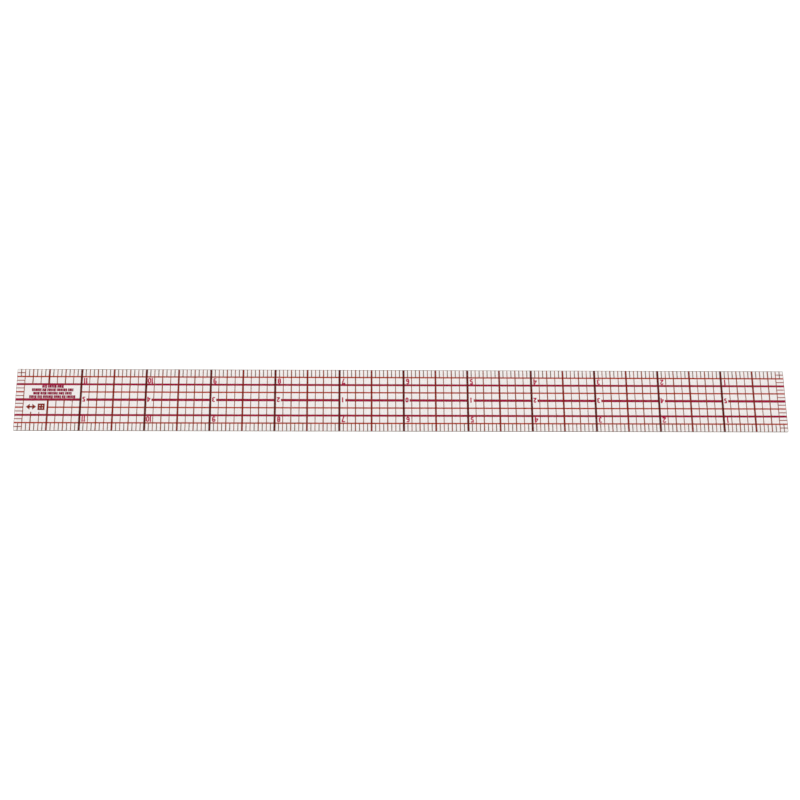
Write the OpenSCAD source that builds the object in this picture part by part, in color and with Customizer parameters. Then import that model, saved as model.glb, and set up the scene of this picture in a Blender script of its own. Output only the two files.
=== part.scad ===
// Clear laminated quilting ruler with an eighth-inch grid in maroon and crimson ink.
// The origin is the centre of the underside, +X runs along the scale and +Z is up.
// Three clear plies carry the print: the lengthwise lines are the first pass of ink
// on the core, and the crosswise lines, numerals and legend are the second pass.

/* [Sheet] */
// Length of the scale in whole inches
ruler_inches = 12; // [6:2:18]
// Thickness of the finished laminate
sheet_t = 0.76; // [0.5:0.02:1.5]
// Thickness of each clear overlay
overlay_t = 0.1; // [0.06:0.01:0.2]

/* [Ink] */
// Thickness of one pass of ink
ink_t = 0.015; // [0.01:0.005:0.03]
// Width of the crosswise lines at whole inches
inch_line_w = 0.86; // [0.4:0.02:0.9]
// Width of the crosswise lines at half inches
half_line_w = 0.72; // [0.3:0.02:0.8]
// Width of the crosswise lines at quarter inches
quarter_line_w = 0.44; // [0.2:0.02:0.5]
// Width of the crosswise lines at eighths
eighth_line_w = 0.32; // [0.1:0.02:0.4]
// Width of the sixteenth ticks
tick_w = 0.34; // [0.1:0.02:0.4]
// Width of the lengthwise centre line
center_line_w = 1.04; // [0.4:0.02:1.1]
// Width of the lengthwise lines a quarter of the width in from each edge
quarter_width_line_w = 0.86; // [0.3:0.02:0.9]
// Width of the other lengthwise lines
eighth_width_line_w = 0.58; // [0.2:0.02:0.6]

/* [Numerals] */
// Height of the inch numerals
numeral_h = 2.3; // [1.8:0.1:2.4]
// Height of the centring numerals
center_numeral_h = 2.1; // [1.4:0.1:2.1]
// How far the centring numerals sit below the middle of the centre line
center_numeral_drop = 0.2; // [0:0.05:0.4]
// Middle of an inch numeral, measured back from its inch line
numeral_setback = 1.6; // [1.55:0.05:1.7]
// Middle of a centring numeral, measured back from its inch line
center_numeral_setback = 1.3; // [1.2:0.05:1.5]
// Length of centre line left out for each centring numeral
numeral_gap = 2.3; // [2.2:0.1:2.6]

/* [Hidden] */
$fn = 48;

inch = 25.4;
// One square of the grid is an eighth of an inch, and the ruler is eight of them wide
cell = inch / 8;
ruler_l = ruler_inches * inch;
ruler_w = inch;
half_w = ruler_w / 2;

// Heights of the two passes of ink, which fill the space between core and top overlay
first_pass_z = sheet_t - overlay_t - 2 * ink_t;
second_pass_z = first_pass_z + ink_t;

// Two places have no grid: one under the legend and one under the sign
legend_window = [[inch_x(ruler_inches - 1), -2 * cell], [inch_x(ruler_inches) - cell, 0]];
sign_window = [[inch_x(ruler_inches - 0.5), 0], [inch_x(ruler_inches) - cell, 1.6 * cell]];
// How far a window keeps off the lines that border it
window_margin = cell / 4;

// Digit proportions, as shares of the height of a numeral
digit_w_share = 0.6;
one_w_share = 0.3;
digit_gap_share = 0.06;
// Stroke of the digits, which is heavier for its height on the small centring numerals
stroke_share = 0.22;
center_stroke_share = 0.25;

// Legend: the width and height of each row, from the top row down
legend_rows = [[18, 1.2], [15, 1.2], [16.2, 1.24], [8.4, 1.2]];
legend_first_y = -1.15;
legend_pitch = 1.42;
// A row is words of small bars, as print looks from far off
word_l = 3.2;
word_gap = 0.3;
letter_w = 0.72;
letter_gap = 0.07;
// Height of a word's other bars, as a share of its first one
low_letter_share = 0.94;
// How unevenly the gaps fall, as a share of a word or of a letter
legend_sway = 0.26;

// Sign: a small square of grid and a two-headed arrow
sign_size = 2.7;
sign_stroke = 0.66;
arrow_l = 4;
arrow_head = 1.5;
arrow_head_h = 2.4;
sign_gap = 0.6;

maroon = [0.38, 0.08, 0.12];
crimson = [0.62, 0.05, 0.24];
clear_color = [0.9, 0.93, 0.93, 0.35];

// Place along the ruler of a reading on its scale
function inch_x(reading) = (reading - ruler_inches / 2) * inch;

// Readings of the crosswise lines: every step from start, short of both ends
function readings(start, step) = [start : step : ruler_inches - step / 2];

// ---- Plies ----

module ply(z, t) {
    translate([-ruler_l / 2, -half_w, z])
        cube([ruler_l, ruler_w, t]);
}

module bottom_overlay() {
    color(clear_color)
        ply(0, overlay_t);
}

module core_sheet() {
    color(clear_color)
        ply(overlay_t, first_pass_z - overlay_t);
}

module top_overlay() {
    color(clear_color)
        ply(sheet_t - overlay_t, overlay_t);
}

// ---- Lines ----

module cross_line(reading, w, y_low = -half_w, y_high = half_w) {
    translate([inch_x(reading) - w / 2, y_low, second_pass_z])
        cube([w, y_high - y_low, ink_t]);
}

module long_line(y, w, x_low = -ruler_l / 2, x_high = ruler_l / 2) {
    translate([x_low, y - w / 2, first_pass_z])
        cube([x_high - x_low, w, ink_t]);
}

// A block that clears one window, drawn in by a margin along each axis
module window_cut(window, margin_x, margin_y) {
    margin = [margin_x, margin_y];
    low = window[0] + margin;
    size = window[1] - margin - low;
    translate([low[0], low[1], 0])
        cube([size[0], size[1], sheet_t]);
}

// Crosswise lines of one weight, left out where the legend and the sign are
module cross_lines(start, step, w) {
    color(maroon)
        difference() {
            for (reading = readings(start, step))
                cross_line(reading, w);
            window_cut(legend_window, window_margin, 0);
            window_cut(sign_window, window_margin, 0);
        }
}

module inch_lines() {
    cross_lines(1, 1, inch_line_w);
}

module half_inch_lines() {
    cross_lines(1 / 2, 1, half_line_w);
}

module quarter_inch_lines() {
    cross_lines(1 / 4, 1 / 2, quarter_line_w);
}

module eighth_inch_lines() {
    cross_lines(1 / 8, 1 / 4, eighth_line_w);
}

// Sixteenth ticks along one long edge, one square deep
module edge_sixteenths(y_low) {
    color(maroon)
        for (reading = readings(1 / 16, 1 / 8))
            cross_line(reading, tick_w, y_low, y_low + cell);
}

module front_edge_sixteenths() {
    edge_sixteenths(-half_w);
}

module back_edge_sixteenths() {
    edge_sixteenths(half_w - cell);
}

// The centre line stops short of every inch line to leave room for a numeral
module center_line() {
    color(crimson)
        for (reading = [0 : ruler_inches - 1]) {
            gap = reading < ruler_inches - 1 ? numeral_gap : 0;
            long_line(0, center_line_w, inch_x(reading), inch_x(reading + 1) - gap);
        }
}

module quarter_width_lines() {
    color(crimson)
        for (y = [-2 * cell, 2 * cell])
            long_line(y, quarter_width_line_w);
}

module eighth_width_lines() {
    color(crimson)
        difference() {
            for (y = [-3 * cell, -cell, cell, 3 * cell])
                long_line(y, eighth_width_line_w);
            window_cut(legend_window, 0, window_margin);
            window_cut(sign_window, 0, window_margin);
        }
}

// Sixteenth ticks down one short end, one square long
module end_sixteenths(x_low) {
    color(crimson)
        for (row = [-4 : 3])
            long_line((row + 0.5) * cell, tick_w, x_low, x_low + cell);
}

module left_end_sixteenths() {
    end_sixteenths(-ruler_l / 2);
}

module right_end_sixteenths() {
    end_sixteenths(ruler_l / 2 - cell);
}

// ---- Numerals ----
// A digit stands on y = 0 with its left side on x = 0, w wide and h high, in strokes s thick

function digit_w(d, h) = h * (d == 1 ? one_w_share : digit_w_share);

module bar(x, y, w, h) {
    translate([x, y])
        square([w, h]);
}

// A slanted stroke with level ends, from its lower left corner to its upper left corner
module slant(low, high, s) {
    polygon([low, low + [s, 0], high + [s, 0], high]);
}

// Part of a ring, turning anticlockwise from one angle to the other
module bow(center, r, s, from, to) {
    reach = 2 * r;
    turn = (to - from) / 4;
    translate(center)
        intersection() {
            difference() {
                circle(r);
                circle(r - s);
            }
            polygon(concat(
                [[0, 0]],
                [for (i = [0 : 4]) reach * [cos(from + i * turn), sin(from + i * turn)]]
            ));
        }
}

// A whole ring
module loop(center, r, s) {
    translate(center)
        difference() {
            circle(r);
            circle(r - s);
        }
}

module zero(w, h, s) {
    r = w / 2;
    bow([r, h - r], r, s, 0, 180);
    bow([r, r], r, s, 180, 360);
    bar(0, r, s, h - w);
    bar(w - s, r, s, h - w);
}

module one(w, h, s) {
    bar(w - s, 0, s, h);
    polygon([[w - s, h], [0, h * 0.8], [0, h * 0.68], [w - s, h * 0.84]]);
}

module two(w, h, s) {
    r = w / 2;
    bow([r, h - r], r, s, -10, 180);
    bar(0, 0, w, s);
    polygon([[0, s], [s * 1.4, s], [w - s * 0.02, h - r * 1.17], [w - s, h - r * 1.17]]);
}

module three(w, h, s) {
    r = (h + s) / 4;
    bow([w - r, h - r], r, s, -90, 150);
    bow([w - r, r], r, s, -150, 90);
}

module four(w, h, s) {
    stem_x = w * 0.62;
    foot_y = h * 0.24;
    bar(stem_x, 0, s, h);
    bar(0, foot_y, w, s);
    polygon([[0, foot_y + s], [s, foot_y + s], [stem_x, h - s * 1.2], [stem_x, h]]);
}

module five(w, h, s) {
    r = w / 2;
    bow([r, r], r, s, -150, 120);
    bar(s * 0.2, h - s, w - s * 0.4, s);
    bar(s * 0.2, r * 1.5, s, h - r * 1.5);
}

module six(w, h, s) {
    r = w / 2;
    loop([r, r], r, s);
    bow([r, h - r], r, s, 30, 180);
    bar(0, r, s, h - w);
}

module seven(w, h, s) {
    bar(0, h - s, w, s);
    slant([w * 0.22, 0], [w - s, h - s], s);
}

module eight(w, h, s) {
    r = (h + s) / 4;
    loop([w / 2, r], r, s);
    loop([w / 2, h - r], r, s);
}

module nine(w, h, s) {
    translate([w, h])
        rotate(180)
            six(w, h, s);
}

module digit(d, h, s) {
    w = digit_w(d, h);
    if (d == 0) zero(w, h, s);
    if (d == 1) one(w, h, s);
    if (d == 2) two(w, h, s);
    if (d == 3) three(w, h, s);
    if (d == 4) four(w, h, s);
    if (d == 5) five(w, h, s);
    if (d == 6) six(w, h, s);
    if (d == 7) seven(w, h, s);
    if (d == 8) eight(w, h, s);
    if (d == 9) nine(w, h, s);
}

// A number of one or two digits in strokes s thick, centred on the middle of its height
module numeral(value, h, s) {
    tens = floor(value / 10);
    units = value % 10;
    lead = value < 10 ? 0 : digit_w(tens, h) + digit_gap_share * h;
    total = lead + digit_w(units, h);
    translate([-total / 2, -h / 2]) {
        if (value > 9)
            digit(tens, h, s);
        translate([lead, 0])
            digit(units, h, s);
    }
}

// A numeral in the second pass of ink, centred on x and y
module printed_numeral(x, y, value, h, s) {
    translate([x, y, second_pass_z])
        linear_extrude(ink_t)
            numeral(value, h, s);
}

// One row of inch numerals, counting up from the left
module inch_numerals(y) {
    s = stroke_share * numeral_h;
    color(crimson)
        for (reading = [1 : ruler_inches - 1])
            printed_numeral(inch_x(reading) - numeral_setback, y, reading, numeral_h, s);
}

module front_numerals() {
    inch_numerals(-2.5 * cell);
}

module back_numerals() {
    inch_numerals(2.5 * cell);
}

// Numerals on the centre line, counting outwards both ways from the middle
module centering_numerals() {
    s = center_stroke_share * center_numeral_h;
    color(crimson)
        for (reading = [1 : ruler_inches - 1]) {
            x = inch_x(reading) - center_numeral_setback;
            value = abs(reading - ruler_inches / 2);
            printed_numeral(x, -center_numeral_drop, value, center_numeral_h, s);
        }
}

// ---- Legend and sign ----

// Where piece i starts, counted in pieces; the starts between the ends are uneven
function uneven(i, count, seed) =
    i > 0 && i < count ? i + legend_sway * sin(110 * i + 80 * seed) : i;

// A word on y = 0 with its left side on x = 0
module word(w, h, seed) {
    count = round(w / letter_w);
    pitch = (w + letter_gap) / count;
    for (i = [0 : count - 1]) {
        from = uneven(i, count, seed) * pitch;
        to = uneven(i + 1, count, seed) * pitch - letter_gap;
        bar(from, 0, to - from, i == 0 ? h : h * low_letter_share);
    }
}

// One row of words, centred on x = 0 and y = 0
module legend_row(w, h, row) {
    count = round(w / word_l);
    pitch = (w + word_gap) / count;
    for (i = [0 : count - 1]) {
        from = uneven(i, count, row) * pitch;
        to = uneven(i + 1, count, row) * pitch - word_gap;
        translate([from - w / 2, -h / 2])
            word(to - from, h, i + row);
    }
}

module legend_bars() {
    middle_x = (legend_window[0][0] + legend_window[1][0]) / 2;
    color(crimson)
        translate([middle_x, legend_first_y, second_pass_z])
            linear_extrude(ink_t)
                for (row = [0 : len(legend_rows) - 1])
                    translate([0, -row * legend_pitch])
                        legend_row(legend_rows[row][0], legend_rows[row][1], row);
}

// A square of grid, centred
module grid_square() {
    difference() {
        square(sign_size, center = true);
        square(sign_size - 2 * sign_stroke, center = true);
    }
    square([sign_size, sign_stroke], center = true);
    square([sign_stroke, sign_size], center = true);
}

// A level arrow with a head at both ends, centred
module arrow() {
    neck_x = arrow_l / 2 - arrow_head;
    square([arrow_l - arrow_head, sign_stroke], center = true);
    for (turn = [0, 180])
        rotate(turn)
            polygon([[arrow_l / 2, 0], [neck_x, arrow_head_h / 2], [neck_x, -arrow_head_h / 2]]);
}

module grid_sign() {
    middle_x = (sign_window[0][0] + sign_window[1][0]) / 2;
    middle_y = cell - sign_stroke / 4;
    sign_l = sign_size + sign_gap + arrow_l;
    color(maroon)
        translate([middle_x, middle_y, second_pass_z])
            linear_extrude(ink_t) {
                translate([(sign_size - sign_l) / 2, 0])
                    grid_square();
                translate([(sign_l - arrow_l) / 2, 0])
                    arrow();
            }
}

bottom_overlay();
core_sheet();
top_overlay();
inch_lines();
half_inch_lines();
quarter_inch_lines();
eighth_inch_lines();
front_edge_sixteenths();
back_edge_sixteenths();
center_line();
quarter_width_lines();
eighth_width_lines();
left_end_sixteenths();
right_end_sixteenths();
front_numerals();
back_numerals();
centering_numerals();
legend_bars();
grid_sign();
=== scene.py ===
import math

import bmesh
import bpy
from mathutils import Matrix, Vector


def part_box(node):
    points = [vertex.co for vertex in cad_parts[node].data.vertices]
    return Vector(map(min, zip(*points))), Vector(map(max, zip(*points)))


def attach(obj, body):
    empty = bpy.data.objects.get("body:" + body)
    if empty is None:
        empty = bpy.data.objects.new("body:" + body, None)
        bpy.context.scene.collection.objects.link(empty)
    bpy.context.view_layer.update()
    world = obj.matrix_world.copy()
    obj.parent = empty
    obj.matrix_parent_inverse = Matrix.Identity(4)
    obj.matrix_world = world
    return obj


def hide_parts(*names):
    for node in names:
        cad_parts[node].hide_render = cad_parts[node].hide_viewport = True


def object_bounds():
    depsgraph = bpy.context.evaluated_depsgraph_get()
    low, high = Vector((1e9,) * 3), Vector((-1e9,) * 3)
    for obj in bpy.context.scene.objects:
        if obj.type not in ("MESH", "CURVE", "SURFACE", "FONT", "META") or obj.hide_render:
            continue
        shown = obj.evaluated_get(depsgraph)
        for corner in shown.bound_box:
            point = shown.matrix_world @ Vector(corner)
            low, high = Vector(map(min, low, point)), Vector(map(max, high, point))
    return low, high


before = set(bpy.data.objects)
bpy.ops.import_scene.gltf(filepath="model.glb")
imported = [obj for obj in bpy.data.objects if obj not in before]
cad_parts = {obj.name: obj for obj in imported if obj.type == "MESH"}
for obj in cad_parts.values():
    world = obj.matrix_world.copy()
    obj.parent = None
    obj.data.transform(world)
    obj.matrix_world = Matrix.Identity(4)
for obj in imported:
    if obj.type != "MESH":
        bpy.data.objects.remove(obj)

CAD_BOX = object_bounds()
MM = 0.001

# ---- Places, all from the frame ----

BOX_LOW, BOX_HIGH = (Vector(corner) for corner in CAD_BOX)
CORE_LOW, CORE_HIGH = (Vector(corner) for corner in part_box("core_sheet"))
OVERLAY_LOW = Vector(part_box("top_overlay")[0])
LENGTH = BOX_HIGH.x - BOX_LOW.x
WIDTH = BOX_HIGH.y - BOX_LOW.y
PRINT_Z = (CORE_HIGH.z + OVERLAY_LOW.z) / 2

# ---- Node helpers ----

# Nearly all of a noise texture lies between these two values
NOISE_LOW = 0.3
NOISE_HIGH = 0.7


def blank_material(name):
    """A material with nothing in it but its output; returns it with its node tree and output."""
    material = bpy.data.materials.new(name)
    material.use_nodes = True
    tree = material.node_tree
    tree.nodes.clear()
    return material, tree, tree.nodes.new("ShaderNodeOutputMaterial")


def add(tree, kind, sockets=None, **settings):
    """A node of that kind, with its settings by attribute and its input sockets by name."""
    made = tree.nodes.new(kind)
    for name, value in settings.items():
        setattr(made, name, value)
    for name, value in (sockets or {}).items():
        made.inputs[name].default_value = value
    return made


def noise_fac(tree, scale, detail=2.0, stretch=(1, 1, 1)):
    """Noise over the object's own coordinates, scale features to a metre, more where stretch is over 1."""
    place = add(tree, "ShaderNodeTexCoord")
    mapping = add(tree, "ShaderNodeMapping", {"Scale": stretch})
    tree.links.new(place.outputs["Object"], mapping.inputs["Vector"])
    texture = add(tree, "ShaderNodeTexNoise", {"Scale": scale, "Detail": detail})
    tree.links.new(mapping.outputs["Vector"], texture.inputs["Vector"])
    return texture.outputs["Fac"]


def ranged(tree, source, low, high, from_low=NOISE_LOW, from_high=NOISE_HIGH):
    """source, mapped from from_low..from_high to low..high."""
    made = add(tree, "ShaderNodeMapRange", {
        "From Min": from_low, "From Max": from_high, "To Min": low, "To Max": high,
    })
    tree.links.new(source, made.inputs["Value"])
    return made.outputs["Result"]


def two_tone(tree, source, dark, light):
    """A colour from dark to light, as source goes through the usual spread of a noise."""
    ramp = add(tree, "ShaderNodeValToRGB")
    first, last = ramp.color_ramp.elements
    first.position = NOISE_LOW
    first.color = (*dark, 1)
    last.position = NOISE_HIGH
    last.color = (*light, 1)
    tree.links.new(source, ramp.inputs["Fac"])
    return ramp.outputs["Color"]


def bumped(tree, height, shader, distance):
    """Gives shader a bump from height, distance metres deep."""
    bump = add(tree, "ShaderNodeBump", {"Strength": 1.0, "Distance": distance})
    tree.links.new(height, bump.inputs["Height"])
    tree.links.new(bump.outputs["Normal"], shader.inputs["Normal"])


def light_passes(tree, shader, tint):
    """shader, but clear and of that tint to lamps and to light scattered off what lies under it."""
    path = add(tree, "ShaderNodeLightPath")
    either = add(tree, "ShaderNodeMath", operation="MAXIMUM")
    tree.links.new(path.outputs["Is Shadow Ray"], either.inputs[0])
    tree.links.new(path.outputs["Is Diffuse Ray"], either.inputs[1])
    clear = add(tree, "ShaderNodeBsdfTransparent", {"Color": (*tint, 1)})
    mix = add(tree, "ShaderNodeMixShader")
    tree.links.new(either.outputs[0], mix.inputs["Fac"])
    tree.links.new(shader.outputs[0], mix.inputs[1])
    tree.links.new(clear.outputs[0], mix.inputs[2])
    return mix


# ---- Materials ----

PLASTIC_IOR = 1.5
FILM_TINT = (0.963, 0.958, 0.95)
# The cut edge's darkest and lightest colours: painted shade, near-black for the dark rim that the edge
# shows, streaked along the blade's drag
EDGE_PAINTED_SHADE_DARK = (0.03, 0.014, 0.004)
EDGE_PAINTED_SHADE_LIGHT = (0.07, 0.036, 0.012)
# Shares of scattered light that get through one face of the laminate, and through its cut edge
FACE_PASSES = (0.888, 0.868, 0.866)
EDGE_PASSES = (0.92, 0.91, 0.9)
INK_ROUGHNESS = 0.5
INK_ROUGHNESS_SWAY = 0.08
FLOOR_PAINT = (0.9, 0.9, 0.9)


def clear_film():
    """Glossy clear film, with the faint waviness of a press and a little handling."""
    material, tree, out = blank_material("clear_film")
    glass = add(tree, "ShaderNodeBsdfPrincipled", {
        "Base Color": (*FILM_TINT, 1), "Transmission Weight": 1.0, "IOR": PLASTIC_IOR,
    })
    smears = noise_fac(tree, scale=60, detail=4, stretch=(1, 2.5, 1))
    tree.links.new(ranged(tree, smears, low=0.02, high=0.09), glass.inputs["Roughness"])
    waves = noise_fac(tree, scale=160)
    bumped(tree, waves, glass, distance=0.006 * MM)
    film = light_passes(tree, glass, FACE_PASSES)
    tree.links.new(film.outputs[0], out.inputs["Surface"])
    return material


def sheared_edge():
    """The cut edge of the laminate, frosted by the blade; its near-black colour is painted shade for the
    dark rim along the edge.
    """
    material, tree, out = blank_material("sheared_edge")
    frost = add(tree, "ShaderNodeBsdfPrincipled", {"Transmission Weight": 0.2, "IOR": PLASTIC_IOR})
    drag = noise_fac(tree, scale=900, detail=3, stretch=(1, 1, 0.12))
    # Painted shade: the edge's near-black colour, varied along the blade's drag
    tree.links.new(two_tone(tree, drag, EDGE_PAINTED_SHADE_DARK, EDGE_PAINTED_SHADE_LIGHT), frost.inputs["Base Color"])
    tree.links.new(ranged(tree, drag, low=0.35, high=0.6), frost.inputs["Roughness"])
    bumped(tree, drag, frost, distance=0.01 * MM)
    edge = light_passes(tree, frost, EDGE_PASSES)
    tree.links.new(edge.outputs[0], out.inputs["Surface"])
    return material


def screen_ink(name, dark, light):
    """Flat screen ink, a little uneven in its cover, sealed in the plastic and so without a shine."""
    material, tree, out = blank_material(name)
    ink = add(tree, "ShaderNodeBsdfPrincipled", {"Specular IOR Level": 0.0})
    cover = noise_fac(tree, scale=700, detail=3)
    tree.links.new(two_tone(tree, cover, dark, light), ink.inputs["Base Color"])
    grain = noise_fac(tree, scale=6000)
    roughness = ranged(tree, grain, INK_ROUGHNESS - INK_ROUGHNESS_SWAY, INK_ROUGHNESS + INK_ROUGHNESS_SWAY)
    tree.links.new(roughness, ink.inputs["Roughness"])
    bumped(tree, grain, ink, distance=0.002 * MM)
    tree.links.new(ink.outputs[0], out.inputs["Surface"])
    return material


def floor_paint():
    """Plain pale matt paint."""
    material, tree, out = blank_material("floor_paint")
    paint = add(tree, "ShaderNodeBsdfPrincipled", {
        "Base Color": (*FLOOR_PAINT, 1), "Roughness": 0.9, "Specular IOR Level": 0.1,
    })
    tree.links.new(paint.outputs[0], out.inputs["Surface"])
    return material


# ---- Laminate: the three plies, fused ----

CORNER_R = 0.25 * MM
CORNER_STEPS = 5
EDGE_ROUND = 0.05 * MM
EDGE_STEPS = 3
SEAM_DEPTH = 0.008 * MM
SEAM_HALF_HEIGHT = 0.01 * MM
# The film is the laminate's first material and the cut edge its second
EDGE_SLOT = 1


def outline(inset):
    """The ruler's outline, drawn in by inset, with a small arc at each corner."""
    radius = CORNER_R - inset
    points = []
    for quarter, (side_x, side_y) in enumerate([(1, 1), (-1, 1), (-1, -1), (1, -1)]):
        centre_x = side_x * (LENGTH / 2 - CORNER_R)
        centre_y = side_y * (WIDTH / 2 - CORNER_R)
        for step in range(CORNER_STEPS + 1):
            angle = (quarter + step / CORNER_STEPS) * math.pi / 2
            points.append((centre_x + radius * math.cos(angle), centre_y + radius * math.sin(angle)))
    return points


def wall_profile():
    """Heights and insets up the cut edge: a rounded foot, a fine seam at each ply, a rounded rim."""
    turns = [step / EDGE_STEPS * math.pi / 2 for step in range(EDGE_STEPS + 1)]
    # How far each point of a rounding lies from the face and from the side, from the side inwards
    rounding = [(EDGE_ROUND * (1 - math.sin(turn)), EDGE_ROUND * (1 - math.cos(turn))) for turn in turns]
    foot = [(BOX_LOW.z + rise, inset) for rise, inset in reversed(rounding)]
    rim = [(BOX_HIGH.z - drop, inset) for drop, inset in rounding]
    seams = []
    for height in (CORE_LOW.z, OVERLAY_LOW.z):
        seams += [(height - SEAM_HALF_HEIGHT, 0.0), (height, SEAM_DEPTH), (height + SEAM_HALF_HEIGHT, 0.0)]
    return foot + seams + rim


def fused_laminate():
    """One clear body for the three plies, which the press has fused: only the cut edge shows them."""
    mesh = bmesh.new()
    loops = [[mesh.verts.new((x, y, z)) for x, y in outline(inset)] for z, inset in wall_profile()]
    count = len(loops[0])
    for below, above in zip(loops, loops[1:]):
        for i in range(count):
            j = (i + 1) % count
            wall = mesh.faces.new((below[i], below[j], above[j], above[i]))
            wall.material_index = EDGE_SLOT
    under = mesh.faces.new(list(reversed(loops[0])))
    over = mesh.faces.new(loops[-1])
    bmesh.ops.triangulate(mesh, faces=[under, over])
    data = bpy.data.meshes.new("laminate")
    mesh.to_mesh(data)
    mesh.free()
    data.materials.append(clear_film())
    data.materials.append(sheared_edge())
    piece = bpy.data.objects.new("laminate", data)
    bpy.context.scene.collection.objects.link(piece)
    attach(piece, "root")
    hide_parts("bottom_overlay", "core_sheet", "top_overlay")


fused_laminate()


# ---- Print: the CAD solids, in ink ----

# Each ink: its darkest and its lightest colour, and the printed nodes that it is on
INKS = {
    "inch_ink": ((0.08, 0.003, 0.001), (0.11, 0.005, 0.002), ["inch_lines"]),
    "half_inch_ink": ((0.17, 0.008, 0.002), (0.21, 0.012, 0.003), ["half_inch_lines", "grid_sign"]),
    "fine_maroon_ink": ((0.2, 0.028, 0.003), (0.25, 0.038, 0.005), [
        "quarter_inch_lines", "eighth_inch_lines",
    ]),
    "tick_ink": ((0.1, 0.03, 0.004), (0.14, 0.04, 0.006), [
        "front_edge_sixteenths", "back_edge_sixteenths",
    ]),
    "crimson_ink": ((0.25, 0.001, 0.028), (0.31, 0.002, 0.04), [
        "center_line", "quarter_width_lines",
    ]),
    "fine_crimson_ink": ((0.33, 0.02, 0.003), (0.4, 0.028, 0.005), ["eighth_width_lines"]),
    "end_tick_ink": ((0.22, 0.016, 0.003), (0.28, 0.022, 0.005), [
        "left_end_sixteenths", "right_end_sixteenths",
    ]),
    "numeral_ink": ((0.36, 0.001, 0.04), (0.43, 0.002, 0.055), [
        "front_numerals", "back_numerals", "centering_numerals",
    ]),
    "legend_ink": ((0.2, 0.001, 0.03), (0.26, 0.002, 0.042), ["legend_bars"]),
}


def ink_node(node, ink):
    """Puts ink on a printed node, which throws no shadow, as the studio lights the floor all round."""
    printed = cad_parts[node]
    printed.visible_shadow = False
    printed.visible_diffuse = False
    for slot in printed.material_slots:
        slot.material = ink


for ink_name, (dark, light, nodes) in INKS.items():
    ink = screen_ink(ink_name, dark, light)
    for node in nodes:
        ink_node(node, ink)


# ---- Stage, light and camera ----

# The floor ends while the lamps still light it fully, so that it runs into the bright room unseen
FLOOR_SIZE = 2.6
# It lies this far under the ruler, as the air under a sheet does
FLOOR_DROP = 0.03 * MM

# The room is bright all round and dim overhead, where the camera hangs; it dims between two heights,
# as the sines of their elevations
ROOM_BRIGHT = 1.0
ROOM_DIM = 0.3
DIM_FROM = 0.65
DIM_TO = 0.83

# The camera stands over the back edge, so the ruler is seen with its numerals upside down
CAMERA_AZIMUTH = math.radians(174.23)
CAMERA_ELEVATION = math.radians(71.63)
CAMERA_ROLL = math.radians(5.63)
CAMERA_DISTANCE = 577.2 * MM
CAMERA_AIM = Vector((1.466 * MM, -0.19 * MM, PRINT_Z))
CAMERA_LENS = 65.67
CLIP_START = 10 * MM


def lay_floor():
    """A plain pale floor, centred under the ruler."""
    bpy.ops.mesh.primitive_plane_add(size=FLOOR_SIZE, location=(0, 0, BOX_LOW.z - FLOOR_DROP))
    floor = bpy.context.object
    floor.name = "floor"
    floor.data.materials.append(floor_paint())


def light_room():
    """White light from all round, weaker from overhead."""
    world = bpy.data.worlds.new("studio")
    bpy.context.scene.world = world
    world.use_nodes = True
    room = world.node_tree
    direction = add(room, "ShaderNodeTexCoord")
    height = add(room, "ShaderNodeSeparateXYZ")
    room.links.new(direction.outputs["Generated"], height.inputs["Vector"])
    glow = ranged(room, height.outputs["Z"], ROOM_BRIGHT, ROOM_DIM, DIM_FROM, DIM_TO)
    background = room.nodes["Background"]
    room.links.new(glow, background.inputs["Strength"])
    background.inputs["Color"].default_value = (1, 1, 1, 1)


def softbox(name, place, size, power):
    """A square softbox at place, turned to the ruler, and not mirrored in its face."""
    data = bpy.data.lights.new(name, "AREA")
    data.shape = "SQUARE"
    data.size = size
    data.energy = power
    box = bpy.data.objects.new(name, data)
    box.visible_glossy = False
    box.location = place
    box.rotation_euler = (-Vector(place)).to_track_quat("-Z", "Y").to_euler()
    bpy.context.scene.collection.objects.link(box)


def place_camera():
    """A camera at its azimuth, elevation and distance from the aim, level and then rolled."""
    away = Vector((
        math.cos(CAMERA_ELEVATION) * math.sin(CAMERA_AZIMUTH),
        -math.cos(CAMERA_ELEVATION) * math.cos(CAMERA_AZIMUTH),
        math.sin(CAMERA_ELEVATION),
    ))
    level = Vector((0, 0, 1)).cross(away).normalized()
    turn = Matrix((level, away.cross(level), away)).transposed() @ Matrix.Rotation(CAMERA_ROLL, 3, "Z")
    data = bpy.data.cameras.new("camera")
    data.lens = CAMERA_LENS
    data.clip_start = CLIP_START
    camera = bpy.data.objects.new("camera", data)
    camera.matrix_world = Matrix.Translation(CAMERA_AIM + away * CAMERA_DISTANCE) @ turn.to_4x4()
    bpy.context.scene.collection.objects.link(camera)
    bpy.context.scene.camera = camera


lay_floor()
light_room()
softbox("key_softbox", place=(0.5, -2.2, 2.2), size=1.8, power=60)
softbox("fill_softbox", place=(-0.3, 1.9, 1.9), size=2.0, power=32)
place_camera()
bpy.context.scene.view_settings.view_transform = "Standard"
